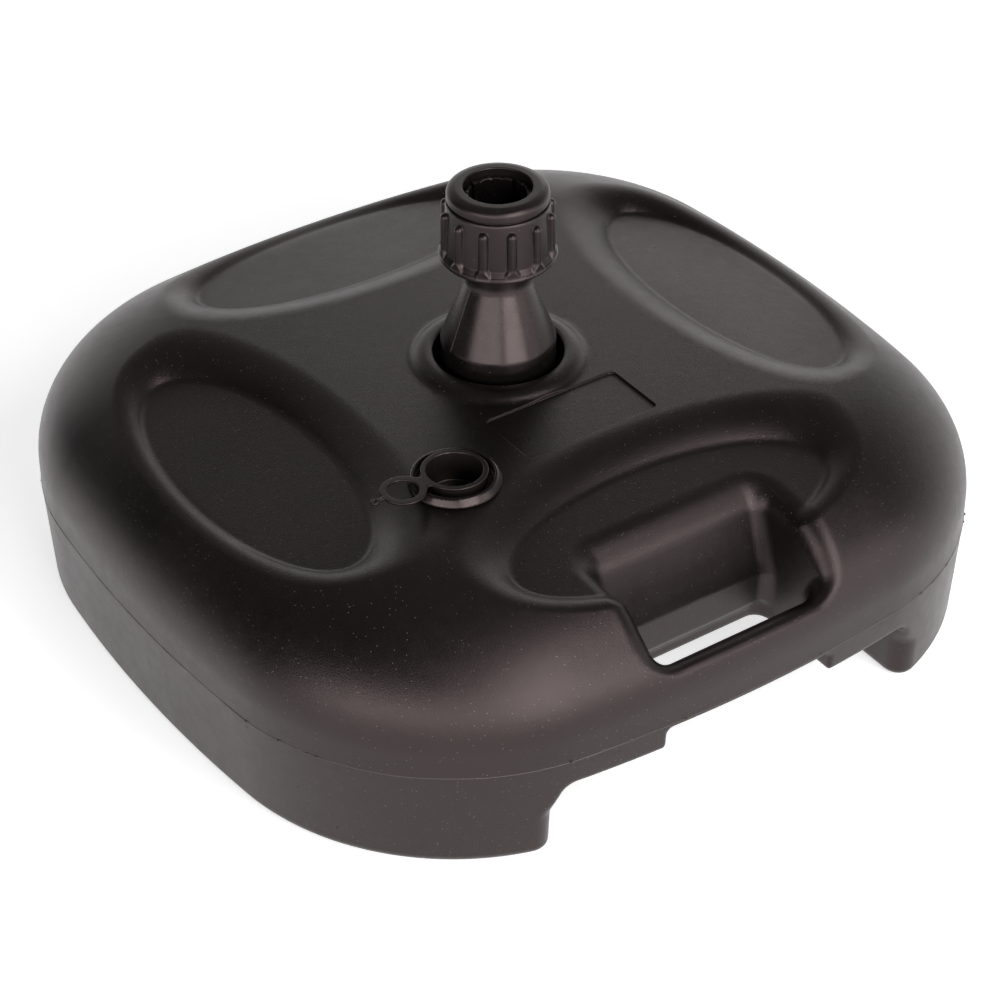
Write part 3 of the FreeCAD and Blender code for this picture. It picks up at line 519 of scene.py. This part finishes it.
def nut_field(x, y, z):
    """The clamp nut: a chamfered top ring, a ribbed barrel and a double lip at its foot."""
    r = np.hypot(x, y)
    side = fold(x, y, 12, math.radians(10.0))
    barrel = both(cone(r, z, 31.4, 226.0, 30.0, 256.1), np.abs(z - 238.5) - 17.6, 0.5)
    bevel = both(cone(r, z, 33.7, 222.9, 30.9, 227.2), np.abs(z - 225.0) - 3.6)
    barrel = np.minimum(barrel, bevel)
    flare = 3.0 * ramp(z, 228.5, 222.5)
    off = np.hypot(r * np.cos(side) - 31.0 + 0.5 * flare, r * np.sin(side))
    rib = np.hypot(off, np.maximum(z - 248.7, 0.0)) - 2.8 - flare
    rib = both(rib, r - 33.9)
    body = soft_either(barrel, both(rib, np.abs(z - 237.0) - 15.0), 0.6)
    body = np.minimum(body, ring(r, z, 20.0, 33.9, 221.1, 223.3, 0.5))
    body = np.minimum(body, ring(r, z, 20.0, 33.1, 219.3, 222.0, 0.7))
    body = np.minimum(body, ring(r, z, 18.0, 28.25, 254.0, 260.0, 0.2))
    crown = ring(r, z, 12.0, 29.65, 257.3, 264.9, 0.5)
    crown = both(crown, cone(r, z, 29.65, 262.5, 26.0, 265.1), 1.4)
    body = np.minimum(body, crown)
    bore = both(r - 25.3, z - 250.8)
    return without(body, np.minimum(bore, r - 20.0), 0.6)


DETAIL_STEP = 0.4


def make_detail(name, field, node, body):
    """A finely meshed piece that stands for a CAD node."""
    low, high = size_of(node)
    piece = field_mesh(name, field, low - 2.0, high + 2.0, DETAIL_STEP, merge=0.01)
    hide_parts(node)
    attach(piece, body)
    return piece


collar = make_detail("collar_rim", collar_field, "filler_collar", "root")
plug = make_detail("plug_cup", plug_field, "filler_plug", "plug")
socket = make_detail("socket_cone", socket_field, "pole_socket", "root")
collet = make_detail("collet_sleeve", collet_field, "clamping_collet", "collet")
nut = make_detail("nut_grip", nut_field, "clamp_nut", "nut")


# ------------------------------------------------------------------ materials

class Shading:
    """A material under construction, with short ways to add the nodes it needs."""

    def __init__(self, name):
        self.material = bpy.data.materials.new(name)
        self.material.use_nodes = True
        self.tree = self.material.node_tree
        self.shader = self.tree.nodes["Principled BSDF"]
        self.place = self.tree.nodes.new("ShaderNodeTexCoord").outputs["Object"]

    def link(self, source, socket):
        self.tree.links.new(source, socket)

    def stretched(self, scale):
        """The object's own coordinates, scaled differently along each axis."""
        node = self.tree.nodes.new("ShaderNodeMapping")
        node.inputs["Scale"].default_value = scale
        self.link(self.place, node.inputs["Vector"])
        return node.outputs["Vector"]

    def noise(self, scale, detail=2.0, rough=0.5, place=None):
        node = self.tree.nodes.new("ShaderNodeTexNoise")
        node.inputs["Scale"].default_value = scale
        node.inputs["Detail"].default_value = detail
        node.inputs["Roughness"].default_value = rough
        self.link(place or self.place, node.inputs["Vector"])
        return node.outputs["Fac"]

    def remap(self, value, low, high, to_low=0.0, to_high=1.0):
        node = self.tree.nodes.new("ShaderNodeMapRange")
        for key, number in (("From Min", low), ("From Max", high),
                            ("To Min", to_low), ("To Max", to_high)):
            node.inputs[key].default_value = number
        self.link(value, node.inputs["Value"])
        return node.outputs["Result"]

    def maths(self, operation, a, b):
        node = self.tree.nodes.new("ShaderNodeMath")
        node.operation = operation
        for socket, value in zip(node.inputs, (a, b)):
            if isinstance(value, (int, float)):
                socket.default_value = value
            else:
                self.link(value, socket)
        return node.outputs["Value"]

    def specks(self, scale, size, share):
        """Small round specks at random places: 1 inside them, 0 elsewhere."""
        node = self.tree.nodes.new("ShaderNodeTexVoronoi")
        node.inputs["Scale"].default_value = scale
        self.link(self.place, node.inputs["Vector"])
        near = self.maths("LESS_THAN", node.outputs["Distance"], size)
        split = self.tree.nodes.new("ShaderNodeSeparateColor")
        self.link(node.outputs["Color"], split.inputs["Color"])
        chosen = self.maths("GREATER_THAN", split.outputs["Red"], 1.0 - share)
        return self.maths("MULTIPLY", near, chosen)

    def blend(self, share, a, b):
        """One colour, then the other as the share goes to 1."""
        node = self.tree.nodes.new("ShaderNodeMix")
        node.data_type = "RGBA"
        self.link(share, node.inputs["Factor"])
        for socket, colour in ((node.inputs["A"], a), (node.inputs["B"], b)):
            if isinstance(colour, tuple):
                socket.default_value = (*colour, 1.0)
            else:
                self.link(colour, socket)
        return node.outputs["Result"]

    def bump(self, height, strength, distance, normal=None):
        node = self.tree.nodes.new("ShaderNodeBump")
        node.inputs["Strength"].default_value = strength
        node.inputs["Distance"].default_value = distance
        self.link(height, node.inputs["Height"])
        if normal is not None:
            self.link(normal, node.inputs["Normal"])
        return node.outputs["Normal"]


DUST = (0.130, 0.122, 0.126)


def moulded_plastic(name, colour, roughness, grain, peel, dust, scuffs, streaks=None):
    """
    Black moulded plastic. Its tone and roughness drift, and it has a fine grain over a slow
    orange peel, pale scuffs in patches and specks of dust. Streaks, if given, are how closely
    fine lines are packed along each axis.
    """
    make = Shading(name)
    shader = make.shader
    shader.inputs["Specular Tint"].default_value = (1.0, 0.80, 0.78, 1.0)
    drift = make.noise(9.0, 4.0)
    mottle = make.noise(120.0, 3.0, 0.6)
    darker = tuple(0.75 * c for c in colour)
    lighter = tuple(1.35 * c for c in colour)
    tone = make.blend(make.remap(drift, 0.3, 0.7), darker, lighter)
    scratch = make.noise(1.0, 2.0, 0.6, make.stretched((900.0, 40.0, 90.0)))
    patch = make.remap(make.noise(14.0, 3.0), 0.55, 0.72)
    scuff = make.maths("MULTIPLY", make.remap(scratch, 0.56, 0.72), patch)
    scuff = make.maths("MULTIPLY", scuff, scuffs)
    speck = make.maths("MAXIMUM", make.specks(520.0, 0.13, 0.5 * dust), make.specks(300.0, 0.06, dust))
    tone = make.blend(scuff, tone, tuple(4.0 * c for c in colour))
    tone = make.blend(speck, tone, DUST)
    make.link(tone, shader.inputs["Base Color"])
    rough = make.remap(drift, 0.3, 0.7, roughness - 0.04, roughness + 0.04)
    rough = make.maths("ADD", rough, make.remap(mottle, 0.3, 0.7, -0.03, 0.03))
    rough = make.maths("ADD", rough, make.maths("MULTIPLY", scuff, 0.15))
    make.link(rough, shader.inputs["Roughness"])
    normal = make.bump(make.noise(170.0, 2.0), peel, 0.0004)
    normal = make.bump(make.noise(1100.0, 3.0, 0.7), grain, 0.00025, normal)
    if streaks:
        lines = make.noise(1.0, 2.0, 0.6, make.stretched(streaks))
        normal = make.bump(lines, 0.20, 0.00015, normal)
    make.link(normal, shader.inputs["Normal"])
    return make.material


MATERIALS = {
    "tank_plastic": moulded_plastic(
        "tank_grain", (0.0045, 0.0034, 0.0034),
        roughness=0.33, grain=0.65, peel=0.12, dust=0.34, scuffs=0.6),
    "satin_plastic": moulded_plastic(
        "satin_black", (0.0045, 0.0034, 0.0034),
        roughness=0.28, grain=0.15, peel=0.05, dust=0.08, scuffs=0.2, streaks=(700.0, 700.0, 12.0)),
    "nut_plastic": moulded_plastic(
        "nut_satin", (0.0050, 0.0038, 0.0038),
        roughness=0.34, grain=0.22, peel=0.08, dust=0.08, scuffs=0.3),
    "plug_plastic": moulded_plastic(
        "plug_satin", (0.0090, 0.0070, 0.0068),
        roughness=0.34, grain=0.15, peel=0.05, dust=0.05, scuffs=0.3),
    "gasket_rubber": moulded_plastic(
        "gasket_matt", (0.0100, 0.0090, 0.0088),
        roughness=0.72, grain=0.20, peel=0.02, dust=0.05, scuffs=0.0),
}
FLASH = moulded_plastic(
    "torn_flash", (0.045, 0.038, 0.037),
    roughness=0.40, grain=0.30, peel=0.20, dust=0.12, scuffs=1.0)
SLOT_OF = {s["node"]: s["material_slot"] for s in frame["record"]["subparts"]}
for node, slot in SLOT_OF.items():
    frame["nodes"][node].data.materials.clear()
    frame["nodes"][node].data.materials.append(MATERIALS[slot])
for piece, slot in ((tank, "tank_plastic"), (label, "tank_plastic"),
                    (collar, "satin_plastic"), (socket, "satin_plastic"),
                    (collet, "satin_plastic"), (nut, "nut_plastic"), (plug, "plug_plastic")):
    piece.data.materials.append(MATERIALS[slot])
seam.data.materials.append(FLASH)


# ------------------------------------------------------------------ floor, light, camera

def make_floor():
    """A plain pale floor that glows evenly."""
    bpy.ops.mesh.primitive_plane_add(size=30.0, location=(0, 0, 0))
    floor = bpy.context.object
    floor.name = "floor"
    paint = Shading("floor_paint")
    tone = paint.blend(paint.noise(3.0), (0.86, 0.86, 0.86), (0.92, 0.92, 0.92))
    paint.link(tone, paint.shader.inputs["Base Color"])
    paint.shader.inputs["Roughness"].default_value = 0.9
    paint.shader.inputs["Emission Color"].default_value = (1.0, 1.0, 1.0, 1.0)
    paint.shader.inputs["Emission Strength"].default_value = 0.6
    floor.data.materials.append(paint.material)


def make_studio():
    """A white cove: bright near the horizon, dim overhead, and dimmer in front and on the left."""
    world = bpy.data.worlds.new("studio")
    bpy.context.scene.world = world
    world.use_nodes = True
    tree = world.node_tree
    way = tree.nodes.new("ShaderNodeTexCoord").outputs["Generated"]
    split = tree.nodes.new("ShaderNodeSeparateXYZ")
    tree.links.new(way, split.inputs["Vector"])
    sky = tree.nodes.new("ShaderNodeValToRGB")
    stops = ((0.0, 0.90), (0.15, 0.85), (0.36, 0.34), (0.56, 0.16), (1.0, 0.09))
    ramp_of = sky.color_ramp
    while len(ramp_of.elements) < len(stops):
        ramp_of.elements.new(0.5)
    for element, (place, light) in zip(ramp_of.elements, stops):
        element.position = place
        element.color = (light, light, light, 1.0)
    tree.links.new(split.outputs["Z"], sky.inputs["Fac"])
    brightness = 1.4
    strength = None
    for axis, start, end, least in (("X", -0.60, -0.10, 0.22), ("Y", -0.35, 0.20, 0.45)):
        side = tree.nodes.new("ShaderNodeMapRange")
        for key, number in (("From Min", start), ("From Max", end), ("To Min", least), ("To Max", 1.0)):
            side.inputs[key].default_value = number
        tree.links.new(split.outputs[axis], side.inputs["Value"])
        share = tree.nodes.new("ShaderNodeMath")
        share.operation = "MULTIPLY"
        share.inputs[0].default_value = brightness
        tree.links.new(side.outputs["Result"], share.inputs[1])
        if strength is not None:
            tree.links.new(strength, share.inputs[0])
        strength = share.outputs["Value"]
    ground = tree.nodes["Background"]
    tree.links.new(sky.outputs["Color"], ground.inputs["Color"])
    tree.links.new(strength, ground.inputs["Strength"])


def soft_light(name, place, target, width, height, glow):
    """A rectangular soft box whose face has the given brightness."""
    lamp = bpy.data.lights.new(name, "AREA")
    lamp.shape = "RECTANGLE"
    lamp.size, lamp.size_y = width, height
    lamp.energy = glow * math.pi * width * height
    piece = bpy.data.objects.new(name, lamp)
    piece.location = place
    piece.rotation_mode = "QUATERNION"
    piece.rotation_quaternion = (Vector(target) - Vector(place)).to_track_quat("-Z", "Y")
    piece.visible_camera = False
    bpy.context.collection.objects.link(piece)


def make_flag():
    """A black panel behind on the left, hidden from the camera, that glossy surfaces reflect."""
    bpy.ops.mesh.primitive_plane_add(size=1.0, location=(-1.17, 0.93, 0.66))
    flag = bpy.context.object
    flag.name = "flag"
    flag.scale = (1.8, 1.3, 1.0)
    flag.rotation_euler = (math.radians(90.0), 0.0, math.radians(51.5))
    flag.visible_camera = False
    flag.visible_diffuse = False
    cloth = Shading("flag_cloth")
    tone = cloth.blend(cloth.noise(20.0), (0.004, 0.004, 0.004), (0.008, 0.008, 0.008))
    cloth.link(tone, cloth.shader.inputs["Base Color"])
    cloth.shader.inputs["Roughness"].default_value = 1.0
    flag.data.materials.append(cloth.material)


def make_camera():
    """The camera looks down at the handle corner from well back, with a long lens."""
    azimuth, elevation, distance = math.radians(-34.83), math.radians(36.29), 1.833
    target = Vector((0.0097, 0.0025, 0.0551))
    back = Vector((
        math.sin(azimuth) * math.cos(elevation),
        -math.cos(azimuth) * math.cos(elevation),
        math.sin(elevation),
    ))
    lens = bpy.data.cameras.new("camera")
    lens.lens, lens.sensor_width = 108.5, 36.0
    lens.shift_x, lens.shift_y = -0.0095, -0.0230
    camera = bpy.data.objects.new("camera", lens)
    camera.location = target + back * distance
    camera.rotation_mode = "QUATERNION"
    camera.rotation_quaternion = (-back).to_track_quat("-Z", "Y")
    bpy.context.collection.objects.link(camera)
    bpy.context.scene.camera = camera


make_floor()
make_flag()
make_studio()
middle = (0.0, 0.0, 0.1)
soft_light("front_box", (0.0, -3.6, 2.5), middle, 2.6, 1.5, 5.4)
soft_light("left_wall", (-3.9, -2.35, 1.30), middle, 5.4, 1.7, 4.2)
soft_light("front_wall", (0.0, -4.6, 1.15), middle, 3.6, 1.4, 5.8)
soft_light("right_wall", (3.0, -3.6, 1.15), middle, 1.9, 1.3, 2.6)
soft_light("high_box", (0.5, -1.5, 1.9), (0.1, -0.7, 0.0), 1.1, 0.6, 5.0)
soft_light("back_box", (1.9, 2.1, 1.3), middle, 1.6, 1.0, 0.9)
make_camera()
bpy.context.scene.view_settings.view_transform = "Standard"
